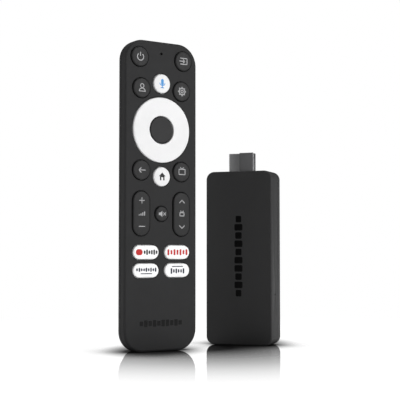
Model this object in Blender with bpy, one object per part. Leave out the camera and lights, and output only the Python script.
"""A streaming media player set: a wireless voice remote (the handset) and the HDMI stick that it works.

Both stand upright on z = 0, side by side and turned a little towards each other. Lengths are in
millimetres and angles in degrees. Each half has a frame of its own, on an empty: x runs across its
front, y goes in from the front face, and z is up from its foot. MM turns millimetres into metres.
"""

import math

import bmesh
import bpy

MM = 0.001
GAP = 0.3  # clearance between neighbouring pieces

# How the two halves stand.
HANDSET_PLACE = (-20.51, -22.14)
HANDSET_TURN = 33.5
STICK_PLACE = (18.69, 12.26)
STICK_TURN = -21.3

# Handset housing.
HANDSET_WIDTH = 41.4
HANDSET_HEIGHT = 152.5
HANDSET_DEPTH = 18.0
HANDSET_CORNER = 10.5
HANDSET_WALL = 1.2
FACE_FILLET = 1.2
PARTING_DEPTH = 3.6
SIDE_DEPTH = 4.0  # the side wall is straight down to here
SIDE_BLEND = 6.0
SIDE_SLOPE = 39.0  # how far the flank leans in towards the back
BACK_BLEND = 3.0
CORNER_EASE = 0.5  # corner radius lost for each millimetre that the flank comes in

# Keys. Positions are measured from the centre line and up from the foot.
KEY_SIZE = 9.6
PALE_KEY_SIZE = 9.4
MUTE_KEY_SIZE = 7.3
OK_KEY_SIZE = 13.0
KEY_RISE = 0.9  # how far a key stands out of the face
KEY_FILLET = 0.4
KEY_CLEARANCE = 0.3
FLANGE_DEPTH = 1.5
FLANGE_THICK = 0.6
FLANGE_LIP = 0.55
TOP_COLUMN = 12.5
SIDE_COLUMN = 11.5
TOP_ROW = 143.9
ASSISTANT_ROW = 131.6
PROFILE_ROW = 128.6
DPAD_ROW = 108.6
BACK_ROW = 88.3
HOME_ROW = 85.5
ROCKER_ROW = 67.2
ROCKER_SIZE = (9.5, 21.7)
ROCKER_FLANGE_DEPTH = 1.9
ROCKER_FLANGE_THICK = 0.5
APP_KEY_SIZE = (14.3, 6.7)
APP_COLUMN = 8.9
APP_ROWS = (48.4, 39.5)
RING_SIZE = 32.3
RING_RISE = 0.6
RING_DEPTH = 1.35
DPAD_PIVOT_DEPTH = 1.8
DPAD_PLATE = (2.15, 2.65)
DPAD_PLATE_SIZE = 34.4
OK_KEY_RISE = 0.4
OK_KEY_DEPTH = 2.5
MIC_ROW = 146.5
MIC_HOLE = 1.2

# Inside the handset.
MAT = (3.3, 3.7)
MAT_SPAN = (33.5, 149.5)
MAT_WIDTH = 34.4
BOARD = (4.0, 4.8)
BOARD_SPAN = (5.0, 148.6)
BOARD_WIDTH = 34.0
BOARD_CORNER = 8.0
BOARD_SCREWS = ((-6.0, 79.5), (6.0, 79.5), (0.0, 141.0))
SCREW_SHANK = 2.0
SCREW_HEAD = 4.0
BOSS_SIZE = 5.2
BOSS_FRONT = 5.1
BATTERY_SIZE = 10.5
BATTERY_BODY = 43.7
BATTERY_NUB = (3.8, 0.8)
BATTERY_COLUMN = 5.5
BATTERY_DEPTH = 11.05
BAY_SPAN = (12.0, 62.8)
BAY_WALL = 1.2
BAY_FRONT = 5.4
SPRING_WIRE = 0.6
SPRING_RADII = (3.8, 2.3)
DOOR_SPAN = (8.0, 74.0)
DOOR_HALF_WIDTH = 13.0
LED_SIZE = 3.0
LED_DEPTH = 9.0

# Stick housing.
STICK_WIDTH = 36.2
STICK_HEIGHT = 91.0
STICK_DEPTH = 15.6
STICK_CORNER = 4.3
STICK_WALL = 1.3
STICK_FACE_FILLET = 0.7
STICK_BACK_FILLET = 0.9
STICK_PARTING = 10.5

# Stick plug, socket and reset switch.
PLUG_SIZE = (13.9, 4.45)
PLUG_CHAMFER = 1.3
PLUG_WALL = 0.4
PLUG_DEPTH = 7.2
PLUG_BASE = 79.8
PLUG_EXPOSED = 9.7
SOCKET_SIZE = (2.6, 7.5)
SOCKET_DEPTH = 6.0
SOCKET_ROW = 20.0
SOCKET_LENGTH = 5.2
RESET_ROW = 26.3
RESET_DEPTH = 5.8
RESET_HOLE = 1.2

# Inside the stick.
STICK_BOARD = (7.6, 8.6)
STICK_BOARD_SPAN = (2.5, 79.5)
STICK_BOARD_WIDTH = 32.0
STICK_SCREWS = ((-12.8, 74.5), (12.8, 10.0))
SHIELD_ROW = 46.0

FINISHES = {
    "black_plastic": ((0.030, 0.030, 0.032), 0.55, 0.0),
    "key_plastic": ((0.045, 0.045, 0.048), 0.45, 0.0),
    "white_plastic": ((0.85, 0.85, 0.86), 0.35, 0.0),
    "silicone": ((0.20, 0.20, 0.21), 0.80, 0.0),
    "board": ((0.02, 0.16, 0.07), 0.45, 0.0),
    "chip": ((0.02, 0.02, 0.022), 0.40, 0.0),
    "steel": ((0.60, 0.60, 0.62), 0.35, 1.0),
    "aluminium": ((0.75, 0.75, 0.77), 0.40, 1.0),
    "battery": ((0.55, 0.42, 0.16), 0.35, 0.6),
    "lens": ((0.25, 0.02, 0.04), 0.10, 0.0),
    "pad": ((0.35, 0.45, 0.60), 0.85, 0.0),
}


def clear_scene():
    for old in list(bpy.data.objects):
        bpy.data.objects.remove(old, do_unlink=True)


def stand(name, place, turn):
    """An empty that one half of the set hangs on, turned about the vertical."""
    empty = bpy.data.objects.new(name, None)
    bpy.context.scene.collection.objects.link(empty)
    empty.location = (place[0] * MM, place[1] * MM, 0)
    empty.rotation_euler = (0, 0, math.radians(turn))
    return empty


def finish_of(name, finish):
    colour, roughness, metallic = FINISHES[finish]
    material = bpy.data.materials.new(name + "_finish")
    material.use_nodes = True
    shader = material.node_tree.nodes["Principled BSDF"]
    shader.inputs["Base Color"].default_value = (*colour, 1)
    shader.inputs["Roughness"].default_value = roughness
    shader.inputs["Metallic"].default_value = metallic
    material.diffuse_color = (*colour, 1)
    return material


def rounded(width, height, radius, steps=6):
    """A rounded rectangle about its centre, as points in order."""
    points = []
    for corner in range(4):
        centre_x = (width / 2 - radius) * (1 if corner in (0, 3) else -1)
        centre_y = (height / 2 - radius) * (1 if corner in (0, 1) else -1)
        for step in range(steps + 1):
            angle = math.radians(90 * (corner + step / steps))
            point = (centre_x + radius * math.cos(angle), centre_y + radius * math.sin(angle))
            if not points or math.dist(point, points[-1]) > 1e-6:
                points.append(point)
    if math.dist(points[0], points[-1]) < 1e-6:
        points.pop()
    return points


def circle(diameter, steps=16):
    turns = [2 * math.pi * step / steps for step in range(steps)]
    return [(diameter / 2 * math.cos(turn), diameter / 2 * math.sin(turn)) for turn in turns]


def rectangle(width, height):
    right = width / 2
    up = height / 2
    return [(right, up), (-right, up), (-right, -up), (right, -up)]


def moved(outline, right, up):
    return [(across + right, along + up) for across, along in outline]


def add_loft(bm, rings, axis="y"):
    """Join outlines of equal length, each with its place along the axis, and cap both ends."""
    order = {"x": (2, 0, 1), "y": (0, 2, 1), "z": (0, 1, 2)}[axis]
    rows = []
    for outline, place in rings:
        spots = [(across, along, place) for across, along in outline]
        rows.append([bm.verts.new([spot[i] * MM for i in order]) for spot in spots])
    for low, high in zip(rows, rows[1:]):
        for i in range(len(low)):
            j = (i + 1) % len(low)
            bm.faces.new((low[i], low[j], high[j], high[i]))
    bm.faces.new(rows[0])
    bm.faces.new(rows[-1][::-1])


def new_piece(name, lofts, finish, parent, at=(0, 0, 0), axis="y"):
    """An object made of one or more lofts, with its origin at a point of its parent's frame."""
    bm = bmesh.new()
    for rings in lofts:
        add_loft(bm, rings, axis)
    bmesh.ops.recalc_face_normals(bm, faces=bm.faces)
    mesh = bpy.data.meshes.new(name)
    bm.to_mesh(mesh)
    bm.free()
    mesh.shade_smooth()
    mesh.set_sharp_from_angle(angle=math.radians(35))
    piece = bpy.data.objects.new(name, mesh)
    bpy.context.scene.collection.objects.link(piece)
    piece.parent = parent
    piece.location = [value * MM for value in at]
    if finish:
        mesh.materials.append(finish_of(name, finish))
    return piece


def combine(piece, operation, name, lofts, axis="y", at=(0, 0, 0)):
    """Cut, join or clip a piece with a helper solid, which is not a piece itself."""
    helper = new_piece(name, lofts, None, piece.parent, at, axis)
    helper.hide_render = True
    helper.display_type = "WIRE"
    modifier = piece.modifiers.new(name, "BOOLEAN")
    modifier.operation = operation
    modifier.solver = "EXACT"
    modifier.object = helper
    return helper


def block(low, high):
    """Rings of a box between two corners, lofted along y."""
    outline = rectangle(high[0] - low[0], high[2] - low[2])
    outline = moved(outline, (low[0] + high[0]) / 2, (low[2] + high[2]) / 2)
    return [(outline, low[1]), (outline, high[1])]


def post(diameter, right, up, start, end, steps=16):
    outline = moved(circle(diameter, steps), right, up)
    return [(outline, start), (outline, end)]


# ---------------------------------------------------------------- handset housing


def handset_outline(half_width, end_inset, offset=0.0):
    """The housing's outline where its flank has come in to half_width."""
    came_in = HANDSET_WIDTH / 2 - offset - half_width
    radius = HANDSET_CORNER - offset - CORNER_EASE * came_in
    outline = rounded(2 * half_width, HANDSET_HEIGHT - 2 * end_inset, radius)
    return moved(outline, 0, HANDSET_HEIGHT / 2)


def face_rings(rim):
    """The front of the housing, from its flat face round the edge to the rim."""
    rings = []
    for step in range(4):
        angle = math.radians(30 * step)
        inset = FACE_FILLET * (1 - math.sin(angle))
        depth = FACE_FILLET * (1 - math.cos(angle))
        rings.append((handset_outline(HANDSET_WIDTH / 2 - inset, inset, inset), depth))
    rings.append((handset_outline(HANDSET_WIDTH / 2, 0), rim))
    return rings


def flank_rings(offset, rim):
    """The back of the housing, from the rim to its flat back, moved inwards by offset."""
    slope = math.radians(SIDE_SLOPE)
    blend_x = HANDSET_WIDTH / 2 - SIDE_BLEND
    back_start = HANDSET_DEPTH - BACK_BLEND
    # The centre of the back blend lies where both blends touch one straight flank.
    flank = (back_start - SIDE_DEPTH + (BACK_BLEND - SIDE_BLEND) * math.sin(slope)) / math.cos(slope)
    back_x = blend_x + (SIDE_BLEND - BACK_BLEND) * math.cos(slope) - flank * math.sin(slope)
    rings = [(handset_outline(HANDSET_WIDTH / 2 - offset, offset, offset), rim)]
    for step in range(4):
        angle = slope * step / 3
        half = blend_x + (SIDE_BLEND - offset) * math.cos(angle)
        depth = SIDE_DEPTH + (SIDE_BLEND - offset) * math.sin(angle)
        rings.append((handset_outline(half, offset, offset), depth))
    half = half - (back_start - depth) * math.tan(slope)
    rings.append((handset_outline(half, offset, offset), back_start))
    radius = BACK_BLEND - offset
    for step in range(4):
        angle = slope + (math.pi / 2 - slope) * step / 3
        half = back_x + radius * math.cos(angle)
        end_inset = offset + radius * (1 - math.cos(angle))
        rings.append((handset_outline(half, end_inset, offset), back_start + radius * math.sin(angle)))
    return rings


def key_table():
    """Every key: name, place across and up, outline, rise, flange depth and thickness, and finish."""
    round_keys = (
        ("power_key", -TOP_COLUMN, TOP_ROW, KEY_SIZE, "key_plastic"),
        ("input_key", TOP_COLUMN, TOP_ROW, KEY_SIZE, "key_plastic"),
        ("assistant_key", 0.0, ASSISTANT_ROW, PALE_KEY_SIZE, "white_plastic"),
        ("profile_key", -SIDE_COLUMN, PROFILE_ROW, KEY_SIZE, "key_plastic"),
        ("settings_key", SIDE_COLUMN, PROFILE_ROW, KEY_SIZE, "key_plastic"),
        ("back_key", -SIDE_COLUMN, BACK_ROW, KEY_SIZE, "key_plastic"),
        ("guide_key", SIDE_COLUMN, BACK_ROW, KEY_SIZE, "key_plastic"),
        ("home_key", 0.0, HOME_ROW, PALE_KEY_SIZE, "white_plastic"),
        ("mute_key", 0.0, ROCKER_ROW, MUTE_KEY_SIZE, "key_plastic"),
    )
    keys = []
    for name, right, up, size, finish in round_keys:
        keys.append((name, right, up, (size, size), FLANGE_DEPTH, FLANGE_THICK, finish))
    for name, side in (("volume_rocker", -1), ("channel_rocker", 1)):
        flange = (ROCKER_FLANGE_DEPTH, ROCKER_FLANGE_THICK)
        keys.append((name, side * SIDE_COLUMN, ROCKER_ROW, ROCKER_SIZE, *flange, "key_plastic"))
    for row, up in enumerate(APP_ROWS):
        for column, side in enumerate((-1, 1)):
            name = f"app_key_{2 * row + column + 1}"
            flange = (FLANGE_DEPTH, FLANGE_THICK)
            keys.append((name, side * APP_COLUMN, up, APP_KEY_SIZE, *flange, "white_plastic"))
    return keys


def key_outline(size, grow=0.0):
    width = size[0] + 2 * grow
    height = size[1] + 2 * grow
    return rounded(width, height, min(width, height) / 2, steps=4)


def make_keys(handset):
    for name, right, up, size, flange, thick, finish in key_table():
        rings = [
            (key_outline(size, -KEY_FILLET), -KEY_RISE),
            (key_outline(size, -KEY_FILLET * 0.3), KEY_FILLET * 0.3 - KEY_RISE),
            (key_outline(size), KEY_FILLET - KEY_RISE),
            (key_outline(size), flange),
            (key_outline(size, FLANGE_LIP), flange),
            (key_outline(size, FLANGE_LIP), flange + thick),
        ]
        new_piece(name, [rings], finish, handset, (right, 0, up))


def make_dpad(handset):
    """The ring rocks from side to side on a plate that rocks up and down, with the OK key through both."""
    steps = 32
    hole = OK_KEY_SIZE + 3 * KEY_CLEARANCE
    outer = [(RING_SIZE, RING_DEPTH), (RING_SIZE, 0.5 - RING_RISE), (RING_SIZE - 1.0, -RING_RISE)]
    inner = [(hole + 1.0, -RING_RISE), (hole, 0.5 - RING_RISE), (hole, RING_DEPTH)]
    pivot = (0, DPAD_PIVOT_DEPTH, DPAD_ROW)
    ring = [(circle(size, steps), depth - DPAD_PIVOT_DEPTH) for size, depth in outer]
    new_piece("dpad_ring", [ring], "white_plastic", handset, pivot)
    bore = [(circle(size, steps), depth - DPAD_PIVOT_DEPTH) for size, depth in inner]
    bore.insert(0, (circle(hole + 1.0, steps), -RING_RISE - 1 - DPAD_PIVOT_DEPTH))
    bore.append((circle(hole, steps), RING_DEPTH + 1 - DPAD_PIVOT_DEPTH))
    combine(bpy.data.objects["dpad_ring"], "DIFFERENCE", "ring_bore", [bore], at=pivot)

    plate = [(circle(DPAD_PLATE_SIZE, steps), depth - DPAD_PIVOT_DEPTH) for depth in DPAD_PLATE]
    new_piece("dpad_plate", [plate], "key_plastic", handset, pivot)
    cut = post(hole, 0, 0, 0, 2 * DPAD_PLATE[1], steps)
    combine(bpy.data.objects["dpad_plate"], "DIFFERENCE", "plate_bore", [cut], at=(0, 0, DPAD_ROW))

    rings = [
        (circle(OK_KEY_SIZE - 1.0, 24), -OK_KEY_RISE),
        (circle(OK_KEY_SIZE, 24), 0.4 - OK_KEY_RISE),
        (circle(OK_KEY_SIZE, 24), OK_KEY_DEPTH),
    ]
    new_piece("ok_key", [rings], "key_plastic", handset, (0, 0, DPAD_ROW))


def make_front_shell(handset):
    inset = HANDSET_WALL
    rings = face_rings(PARTING_DEPTH)
    rings.append((handset_outline(HANDSET_WIDTH / 2 - inset, inset, inset), PARTING_DEPTH))
    rings.append((handset_outline(HANDSET_WIDTH / 2 - inset, inset, inset), HANDSET_WALL))
    shell = new_piece("handset_front_shell", [rings], "black_plastic", handset)
    holes = []
    for _, right, up, size, *_ in key_table():
        outline = moved(key_outline(size, KEY_CLEARANCE), right, up)
        holes.append([(outline, -1), (outline, HANDSET_WALL + 1)])
    holes.append(post(RING_SIZE + 2 * KEY_CLEARANCE, 0, DPAD_ROW, -1, HANDSET_WALL + 1, 32))
    holes.append(post(MIC_HOLE, 0, MIC_ROW, -1, HANDSET_WALL + 1, 10))
    combine(shell, "DIFFERENCE", "key_openings", holes)


def make_back_shell(handset):
    """The back housing, with the battery bay and the board's bosses moulded in, and its door."""
    rim = PARTING_DEPTH + GAP
    skin = [flank_rings(HANDSET_WALL, rim)[::-1] + flank_rings(0, rim)]
    shell = new_piece("handset_back_shell", skin, "black_plastic", handset)
    low, high = DOOR_SPAN
    half = DOOR_HALF_WIDTH + GAP / 2
    window = block((-half, 10, low - GAP / 2), (half, HANDSET_DEPTH + 2, high + GAP / 2))
    combine(shell, "DIFFERENCE", "door_window", [window])

    outer = BATTERY_COLUMN + BATTERY_SIZE / 2 + GAP + BAY_WALL
    bay_low, bay_high = BAY_SPAN
    walls = block((-outer, BAY_FRONT, bay_low - BAY_WALL), (outer, HANDSET_DEPTH, bay_high + BAY_WALL))
    hollow = block((BAY_WALL - outer, 0, bay_low), (outer - BAY_WALL, HANDSET_DEPTH + 2, bay_high))
    bay = combine(shell, "UNION", "battery_bay", [walls])
    combine(bay, "DIFFERENCE", "bay_hollow", [hollow])
    inside = flank_rings(HANDSET_WALL + GAP, 0)
    combine(bay, "INTERSECT", "bay_limit", [inside])

    ribs = []
    for up in (20.0, 56.0):
        for side in (-1, 1):
            near, far = sorted((side * (outer - 0.5), side * 17.3))
            ribs.append(block((near, BAY_FRONT + 0.2, up), (far, 8.5, up + BAY_WALL)))
    combine(shell, "UNION", "bay_ribs", ribs)

    bosses = [post(BOSS_SIZE, right, up, BOSS_FRONT, HANDSET_DEPTH - 0.8) for right, up in BOARD_SCREWS]
    combine(shell, "UNION", "board_bosses", bosses)
    bore = SCREW_SHANK + 2 * GAP
    shanks = [post(bore, right, up, BOSS_FRONT - 1, BOSS_FRONT + 6, 12) for right, up in BOARD_SCREWS]
    combine(shell, "DIFFERENCE", "boss_holes", shanks)
    opening = circle(LED_SIZE + 2 * GAP, 14)
    window = [(opening, HANDSET_HEIGHT - 3), (opening, HANDSET_HEIGHT + 1)]
    combine(shell, "DIFFERENCE", "led_window", [window], "z", (0, LED_DEPTH, 0))

    hinge = (0, HANDSET_DEPTH, low + GAP / 2)
    skin_at_hinge = []
    for outline, depth in skin[0]:
        skin_at_hinge.append((moved(outline, 0, -hinge[2]), depth - HANDSET_DEPTH))
    door = new_piece("battery_door", [skin_at_hinge], "black_plastic", handset, hinge)
    half = DOOR_HALF_WIDTH - GAP / 2
    limit = block((-half, 10, low + GAP / 2), (half, HANDSET_DEPTH + 2, high - GAP / 2))
    combine(door, "INTERSECT", "door_limit", [limit])


# ---------------------------------------------------------------- inside the handset


def make_batteries(handset):
    nub_size, nub_length = BATTERY_NUB
    low, high = BAY_SPAN
    top_of_first = high - 1.0
    foot_of_second = low + 1.0
    for number, side, end, way in ((1, -1, top_of_first, -1), (2, 1, foot_of_second, 1)):
        rings = [
            (circle(nub_size, 20), end),
            (circle(nub_size, 20), end + way * nub_length),
            (circle(BATTERY_SIZE - 0.8, 20), end + way * nub_length),
            (circle(BATTERY_SIZE, 20), end + way * (nub_length + 0.4)),
            (circle(BATTERY_SIZE, 20), end + way * (nub_length + BATTERY_BODY - 0.4)),
            (circle(BATTERY_SIZE - 0.8, 20), end + way * (nub_length + BATTERY_BODY)),
        ]
        place = (side * BATTERY_COLUMN, BATTERY_DEPTH, 0)
        new_piece(f"battery_{number}", [rings], "battery", handset, place, "z")

    length = nub_length + BATTERY_BODY
    spring(handset, 1, -BATTERY_COLUMN, low + GAP, top_of_first - length - GAP)
    spring(handset, 2, BATTERY_COLUMN, high - 1.0, foot_of_second + length + GAP)
    reach = BATTERY_COLUMN + 4.0
    bridge = block((-reach, BATTERY_DEPTH - 4, high - 0.7), (reach, BATTERY_DEPTH + 4, high - 0.3))
    new_piece("battery_bridge_contact", [bridge], "steel", handset)
    near = BATTERY_COLUMN - 4.0
    tab = block((near, BATTERY_DEPTH - 4, low + 0.3), (reach, BATTERY_DEPTH + 4, low + 0.7))
    new_piece("battery_end_contact", [tab], "steel", handset)


def spring(handset, number, right, start, end):
    """A conical coil of wire from its wide end at start to its narrow end at end."""
    turns = 3
    steps = 9
    wide, narrow = SPRING_RADII
    inset = math.copysign(SPRING_WIRE / 2, end - start)
    data = bpy.data.curves.new(f"battery_spring_{number}", "CURVE")
    data.dimensions = "3D"
    data.bevel_depth = SPRING_WIRE / 2 * MM
    data.bevel_resolution = 1
    data.use_fill_caps = True
    path = data.splines.new("POLY")
    path.points.add(turns * steps)
    for i, point in enumerate(path.points):
        share = i / (turns * steps)
        radius = wide + (narrow - wide) * share
        angle = 2 * math.pi * turns * share
        up = start + inset + (end - start - 2 * inset) * share
        point.co = (radius * math.cos(angle) * MM, radius * math.sin(angle) * MM, up * MM, 1)
    coil = bpy.data.objects.new(f"battery_spring_{number}", data)
    bpy.context.scene.collection.objects.link(coil)
    coil.parent = handset
    coil.location = (right * MM, BATTERY_DEPTH * MM, 0)
    data.materials.append(finish_of(coil.name, "steel"))


def plate(name, depths, width, span, corner, finish, parent):
    outline = moved(rounded(width, span[1] - span[0], corner, steps=4), 0, (span[0] + span[1]) / 2)
    return new_piece(name, [[(outline, depths[0]), (outline, depths[1])]], finish, parent)


def screw(name, parent, right, up, head, length, shank, head_depth, way):
    """A pan-head screw whose head starts at head_depth and whose shank runs on along y."""
    rings = [
        (circle(head * 0.7), head_depth),
        (circle(head), head_depth + way * 0.25),
        (circle(head), head_depth + way * 0.5),
        (circle(shank), head_depth + way * 0.5),
        (circle(shank), head_depth + way * (length - 0.6)),
        (circle(shank * 0.4), head_depth + way * length),
    ]
    new_piece(name, [rings], "steel", parent, (right, 0, up))


def make_handset_inside(handset):
    mat = plate("keypad_mat", MAT, MAT_WIDTH, MAT_SPAN, BOARD_CORNER, "silicone", handset)
    clear = [post(SCREW_HEAD + 2 * GAP, right, up, MAT[0] - 1, MAT[1] + 1) for right, up in BOARD_SCREWS]
    clear.append(post(5.2, 0, MIC_ROW, MAT[0] - 1, MAT[1] + 1))
    combine(mat, "DIFFERENCE", "mat_holes", clear)

    board = plate("handset_board", BOARD, BOARD_WIDTH, BOARD_SPAN, BOARD_CORNER, "board", handset)
    bore = SCREW_SHANK + 2 * GAP
    clear = [post(bore, right, up, BOARD[0] - 1, BOARD[1] + 1, 12) for right, up in BOARD_SCREWS]
    combine(board, "DIFFERENCE", "board_holes", clear)
    for number, (right, up) in enumerate(BOARD_SCREWS, 1):
        head_depth = BOARD[0] - GAP - 0.5
        screw(f"board_screw_{number}", handset, right, up, SCREW_HEAD, 6.5, SCREW_SHANK, head_depth, 1)

    chip_depth = BOARD[1] + GAP
    new_piece("radio_chip", [block((-3, chip_depth, 117), (3, chip_depth + 0.9, 123))], "chip", handset)
    mic_depth = BOARD[0] - GAP
    mic = block((-1.6, mic_depth - 1.4, MIC_ROW - 1.2), (1.6, mic_depth, MIC_ROW + 1.2))
    new_piece("microphone", [mic], "aluminium", handset)

    top = HANDSET_HEIGHT - 0.2
    rings = [
        (circle(LED_SIZE + 0.8, 14), top - 7.2),
        (circle(LED_SIZE + 0.8, 14), top - 6.2),
        (circle(LED_SIZE, 14), top - 6.2),
        (circle(LED_SIZE, 14), top - 1.5),
        (circle(LED_SIZE * 0.87, 14), top - 0.75),
        (circle(LED_SIZE * 0.5, 14), top - 0.2),
        (circle(LED_SIZE * 0.15, 14), top),
    ]
    new_piece("infrared_led", [rings], "lens", handset, (0, LED_DEPTH, 0), "z")


# ---------------------------------------------------------------- stick


def stick_outline(inset):
    corner = max(STICK_CORNER - inset, 1.0)
    outline = rounded(STICK_WIDTH - 2 * inset, STICK_HEIGHT - 2 * inset, corner, steps=5)
    return moved(outline, 0, STICK_HEIGHT / 2)


def stick_edge(fillet, start, way):
    """Rings round one edge of the stick, from its flat face at start to its straight side."""
    rings = []
    for step in range(4):
        angle = math.radians(30 * step)
        depth = start + way * fillet * (1 - math.cos(angle))
        rings.append((stick_outline(fillet * (1 - math.sin(angle))), depth))
    return rings


def plug_outline(inset):
    """The plug's outline: two square corners at the front and two cut ones at the back."""
    half = PLUG_SIZE[0] / 2 - inset
    low = -PLUG_SIZE[1] / 2 + inset
    high = PLUG_SIZE[1] / 2 - inset
    cut = PLUG_CHAMFER - inset * 0.6
    back = [(half, high - cut), (half - cut, high), (cut - half, high), (-half, high - cut)]
    return [(-half, low), (half, low), *back]


def make_stick_shells(stick):
    wall = STICK_WALL
    rings = stick_edge(STICK_FACE_FILLET, 0, 1)
    rings += [(stick_outline(0), STICK_PARTING), (stick_outline(wall), STICK_PARTING)]
    rings.append((stick_outline(wall), wall))
    front = new_piece("stick_front_shell", [rings], "black_plastic", stick)
    bosses = [post(4.2, right, up, wall - 0.5, STICK_BOARD[0] - GAP) for right, up in STICK_SCREWS]
    combine(front, "UNION", "stick_bosses", bosses)
    shanks = [post(2.2, right, up, 2.5, STICK_BOARD[0] + 1, 12) for right, up in STICK_SCREWS]
    combine(front, "DIFFERENCE", "stick_boss_holes", shanks)
    opening = rectangle(PLUG_SIZE[0] + 2 * GAP, PLUG_SIZE[1] + 2 * GAP)
    mouth = [(opening, STICK_HEIGHT - 4), (opening, STICK_HEIGHT + 1)]
    combine(front, "DIFFERENCE", "plug_mouth", [mouth], "z", (0, PLUG_DEPTH, 0))
    side = STICK_WIDTH / 2
    opening = rounded(SOCKET_SIZE[0] + 2 * GAP, SOCKET_SIZE[1] + 2 * GAP, 1.2, steps=3)
    mouth = [(opening, -side - 1), (opening, -side + 3)]
    combine(front, "DIFFERENCE", "socket_mouth", [mouth], "x", (0, SOCKET_DEPTH, SOCKET_ROW))
    pinhole = [(circle(RESET_HOLE, 12), side - 3), (circle(RESET_HOLE, 12), side + 1)]
    combine(front, "DIFFERENCE", "reset_pinhole", [pinhole], "x", (0, RESET_DEPTH, RESET_ROW))

    rim = STICK_PARTING + GAP
    rings = stick_edge(STICK_BACK_FILLET, STICK_DEPTH, -1)
    rings += [(stick_outline(0), rim), (stick_outline(wall), rim)]
    rings.append((stick_outline(wall), STICK_DEPTH - wall))
    new_piece("stick_back_shell", [rings], "black_plastic", stick)


def make_stick_ports(stick):
    tip = STICK_HEIGHT + PLUG_EXPOSED
    rings = [
        (plug_outline(0), PLUG_BASE),
        (plug_outline(0), tip),
        (plug_outline(PLUG_WALL), tip),
        (plug_outline(PLUG_WALL), PLUG_BASE + 1),
    ]
    new_piece("hdmi_plug_shell", [rings], "steel", stick, (0, PLUG_DEPTH, 0), "z")
    outer = rectangle(PLUG_SIZE[0] - 4.0, PLUG_SIZE[1] - 2 * PLUG_WALL - 2 * GAP)
    body = [(outer, PLUG_BASE + 1 + GAP), (outer, tip - 1.0)]
    insert = new_piece("hdmi_plug_insert", [body], "chip", stick, (0, PLUG_DEPTH, 0), "z")
    slot = rectangle(PLUG_SIZE[0] - 5.2, 1.3)
    combine(insert, "DIFFERENCE", "insert_slot", [[(slot, tip - 9), (slot, tip)]], "z", (0, PLUG_DEPTH, 0))

    mouth = -STICK_WIDTH / 2 + 0.2
    inner = mouth + SOCKET_LENGTH
    outline = rounded(*SOCKET_SIZE, 0.9, steps=3)
    hollow = rounded(SOCKET_SIZE[0] - 0.6, SOCKET_SIZE[1] - 0.6, 0.6, steps=3)
    rings = [(outline, inner), (outline, mouth), (hollow, mouth), (hollow, inner - 0.4)]
    place = (0, SOCKET_DEPTH, SOCKET_ROW)
    new_piece("usb_socket_shell", [rings], "steel", stick, place, "x")
    blade = rectangle(0.6, 4.2)
    new_piece("usb_socket_tongue", [[(blade, mouth + 0.8), (blade, inner - 0.7)]], "chip", stick, place, "x")


def make_reset(stick):
    """A tiny switch on the board, with a plunger that a pin pushes through the hole in the side."""
    wall = STICK_WIDTH / 2 - STICK_WALL
    end = wall - GAP
    switch_face = end - 1.6
    board_face = STICK_BOARD[0] - GAP
    low = (switch_face - 3.2, board_face - 3.0, RESET_ROW - 2.2)
    body = block(low, (switch_face, board_face, RESET_ROW + 2.2))
    new_piece("reset_switch", [body], "steel", stick)
    rings = [(circle(1.8, 12), -1.2), (circle(1.8, 12), -0.3), (circle(1.0, 12), 0)]
    new_piece("reset_button", [rings], "key_plastic", stick, (end, RESET_DEPTH, RESET_ROW), "x")


def make_stick_inside(stick):
    board = plate("stick_board", STICK_BOARD, STICK_BOARD_WIDTH, STICK_BOARD_SPAN, 2.0, "board", stick)
    clear = [post(2.2, right, up, STICK_BOARD[0] - 1, STICK_BOARD[1] + 1, 12) for right, up in STICK_SCREWS]
    combine(board, "DIFFERENCE", "stick_board_holes", clear)
    for number, (right, up) in enumerate(STICK_SCREWS, 1):
        screw(f"stick_screw_{number}", stick, right, up, 3.4, 5.5, 1.6, STICK_BOARD[1] + GAP + 0.5, -1)

    face = STICK_BOARD[0] - GAP
    new_piece("processor_chip", [block((-7, face - 1, 47), (7, face, 61))], "chip", stick)
    new_piece("memory_chip", [block((-10, face - 0.9, 31), (-1, face, 42))], "chip", stick)
    new_piece("flash_chip", [block((1, face - 0.9, 31), (10, face, 42))], "chip", stick)
    pad_back = face - 1 - GAP
    new_piece("thermal_pad", [block((-6, pad_back - 0.5, 48), (6, pad_back, 60))], "pad", stick)

    can_front = pad_back - 0.5 - GAP - 0.3
    outline = moved(rounded(22.6, 38, 1.5, steps=3), 0, SHIELD_ROW)
    hollow = moved(rounded(22.0, 37.4, 1.2, steps=3), 0, SHIELD_ROW)
    rings = [(outline, can_front), (outline, face), (hollow, face), (hollow, can_front + 0.3)]
    new_piece("shield_can", [rings], "steel", stick)
    spreader_back = can_front - GAP
    depths = (spreader_back - 1.0, spreader_back)
    spreader = plate("heat_spreader", depths, 22.0, (24.0, 72.0), 1.5, "aluminium", stick)
    notches = [post(3.0, side * 11.0, SHIELD_ROW, 0, spreader_back + 1, 12) for side in (-1, 1)]
    combine(spreader, "DIFFERENCE", "spreader_notches", notches)

    arm = block((-12, face - 0.4, 12.0), (8, face, 13.6))
    antenna = new_piece("wifi_antenna", [arm], "steel", stick)
    legs = [block((right, face - 0.4, 6.0), (right + 1.4, face, 12.6)) for right in (-12.0, -7.0)]
    combine(antenna, "UNION", "antenna_legs", legs)


def main():
    clear_scene()
    handset = stand("handset", HANDSET_PLACE, HANDSET_TURN)
    make_front_shell(handset)
    make_back_shell(handset)
    make_keys(handset)
    make_dpad(handset)
    make_batteries(handset)
    make_handset_inside(handset)
    stick = stand("stick", STICK_PLACE, STICK_TURN)
    make_stick_shells(stick)
    make_stick_ports(stick)
    make_stick_inside(stick)
    make_reset(stick)


main()
